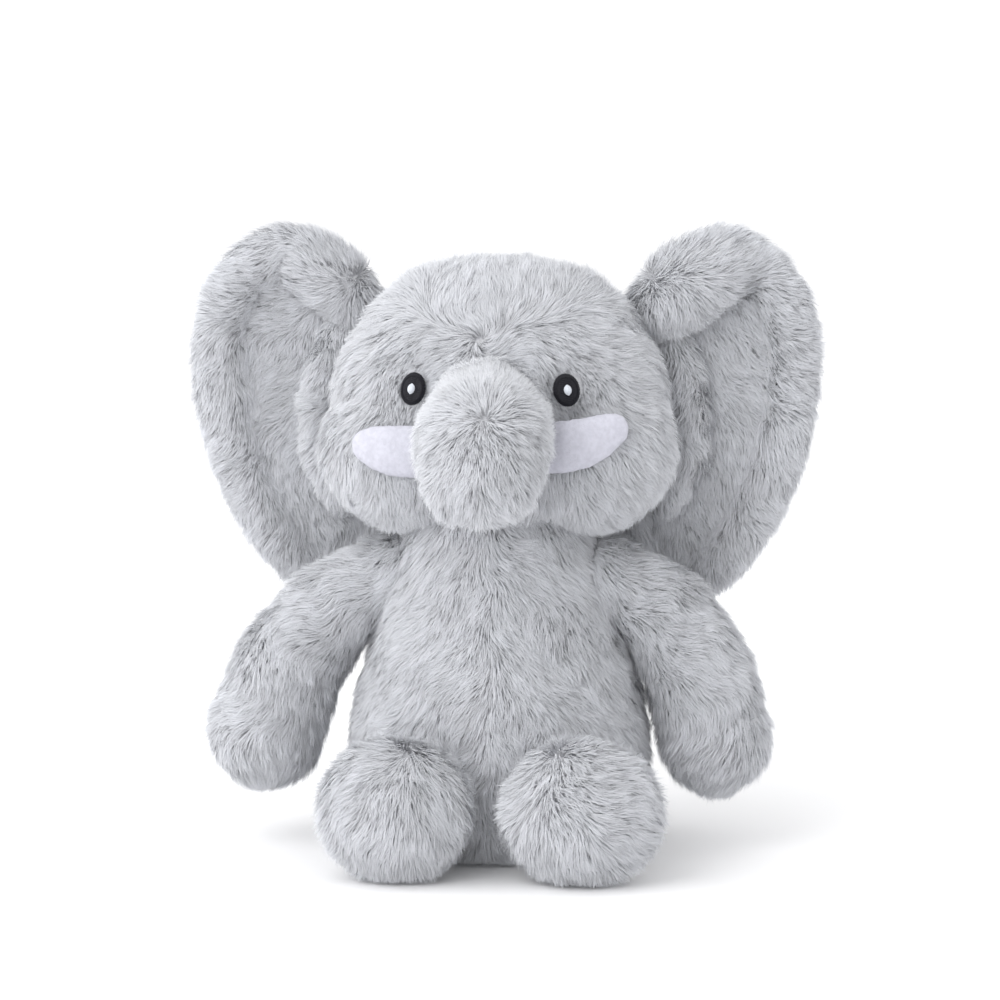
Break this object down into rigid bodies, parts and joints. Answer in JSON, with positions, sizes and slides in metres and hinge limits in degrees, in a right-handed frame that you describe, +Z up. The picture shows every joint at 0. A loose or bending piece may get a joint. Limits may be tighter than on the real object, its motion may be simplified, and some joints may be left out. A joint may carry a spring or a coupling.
{
  "type": "stuffed elephant",
  "caption": "Sitting stuffed elephant in long pale grey plush, with broad ears, a short bent trunk, two soft white tusks, limp arms and forward-facing round feet.",
  "frame": {"origin": "centre of the flat seat on which the toy rests", "axes": "+Z up, -Y is the way the face looks, +X is the elephant's own left"},
  "size_m": [0.2552, 0.1927, 0.2585],
  "materials": {
    "fur": "long soft pile, matte",
    "fur_shaded": "long soft pile, matte",
    "wadding": "loose fibre wadding, matte",
    "pouch_cloth": "plain woven cloth, matte",
    "pellets": "smooth small pellets",
    "eye_thread": "dense satin stitching",
    "eye_glint_thread": "dense satin stitching",
    "seam_thread": "twisted sewing thread",
    "tusk_cloth": "short smooth pile, matte"
  },
  "bodies": {
    "torso": {"torso_front_left": "fur", "torso_front_right": "fur", "torso_back_left": "fur", "torso_back_right": "fur", "torso_seat_panel": "fur_shaded", "torso_stuffing": "wadding", "pellet_pouch": "pouch_cloth", "pellet_fill": "pellets", "back_closing_stitches": "seam_thread"},
    "neck": {"neck_seam_thread": "seam_thread"},
    "head": {"head_left_cheek": "fur", "head_right_cheek": "fur", "head_crown_gusset": "fur", "head_chin_panel": "fur", "head_stuffing": "wadding", "left_eye": "eye_thread", "right_eye": "eye_thread", "left_eye_glint": "eye_glint_thread", "right_eye_glint": "eye_glint_thread", "trunk_left_half": "fur", "trunk_right_half": "fur", "trunk_stuffing": "wadding", "left_tusk_cover": "tusk_cloth", "left_tusk_filling": "wadding", "right_tusk_cover": "tusk_cloth", "right_tusk_filling": "wadding"},
    "trunk_tip": {"trunk_tip_left_half": "fur", "trunk_tip_right_half": "fur", "trunk_tip_stuffing": "wadding"},
    "left_ear": {"left_ear_front": "fur", "left_ear_back": "fur_shaded", "left_ear_padding": "wadding"},
    "right_ear": {"right_ear_front": "fur", "right_ear_back": "fur_shaded", "right_ear_padding": "wadding"},
    "left_arm": {"left_arm_front": "fur", "left_arm_back": "fur_shaded", "left_arm_stuffing": "wadding"},
    "right_arm": {"right_arm_front": "fur", "right_arm_back": "fur_shaded", "right_arm_stuffing": "wadding"},
    "left_leg": {"left_leg_upper": "fur", "left_leg_under": "fur", "left_sole": "fur_shaded", "left_leg_stuffing": "wadding"},
    "right_leg": {"right_leg_upper": "fur", "right_leg_under": "fur", "right_sole": "fur_shaded", "right_leg_stuffing": "wadding"},
    "tail": {"tail_cover": "fur", "tail_tuft": "fur_shaded"}
  },
  "joints": [
    {"name": "head_turn", "type": "hinge", "parent": "torso", "child": "neck", "pos_m": [0, 0, 0.142], "axis": [0, 0, 1], "range_deg": [-20, 20], "stiffness_Nm_per_rad": 1.5},
    {"name": "head_nod", "type": "hinge", "parent": "neck", "child": "head", "pos_m": [0, 0, 0.189], "axis": [1, 0, 0], "range_deg": [-5, 8], "stiffness_Nm_per_rad": 6},
    {"name": "trunk_bend", "type": "hinge", "parent": "head", "child": "trunk_tip", "pos_m": [0, -0.078, 0.178], "axis": [-1, 0, 0], "range_deg": [-18, 42], "stiffness_Nm_per_rad": 0.6},
    {"name": "left_ear_flap", "type": "hinge", "parent": "head", "child": "left_ear", "pos_m": [0.06, 0.03, 0.189], "axis": [0, 0, -1], "range_deg": [-15, 15], "stiffness_Nm_per_rad": 0.4},
    {"name": "right_ear_flap", "type": "hinge", "parent": "head", "child": "right_ear", "pos_m": [-0.06, 0.03, 0.189], "axis": [0, 0, 1], "range_deg": [-15, 15], "stiffness_Nm_per_rad": 0.4},
    {"name": "left_arm_swing", "type": "hinge", "parent": "torso", "child": "left_arm", "pos_m": [0.05, -0.003, 0.112], "axis": [-1, 0, 0], "range_deg": [-15, 50], "stiffness_Nm_per_rad": 1},
    {"name": "right_arm_swing", "type": "hinge", "parent": "torso", "child": "right_arm", "pos_m": [-0.05, -0.003, 0.112], "axis": [-1, 0, 0], "range_deg": [-15, 50], "stiffness_Nm_per_rad": 1},
    {"name": "left_leg_swing", "type": "hinge", "parent": "torso", "child": "left_leg", "pos_m": [0.033, -0.052, 0.028], "axis": [-1, 0, 0], "range_deg": [-20, 18], "stiffness_Nm_per_rad": 1},
    {"name": "right_leg_swing", "type": "hinge", "parent": "torso", "child": "right_leg", "pos_m": [-0.033, -0.052, 0.028], "axis": [-1, 0, 0], "range_deg": [-20, 18], "stiffness_Nm_per_rad": 1},
    {"name": "tail_wag", "type": "hinge", "parent": "torso", "child": "tail", "pos_m": [0, 0.0615, 0.044], "axis": [0, 1, 0], "range_deg": [-30, 30], "stiffness_Nm_per_rad": 0.02}
  ]
}
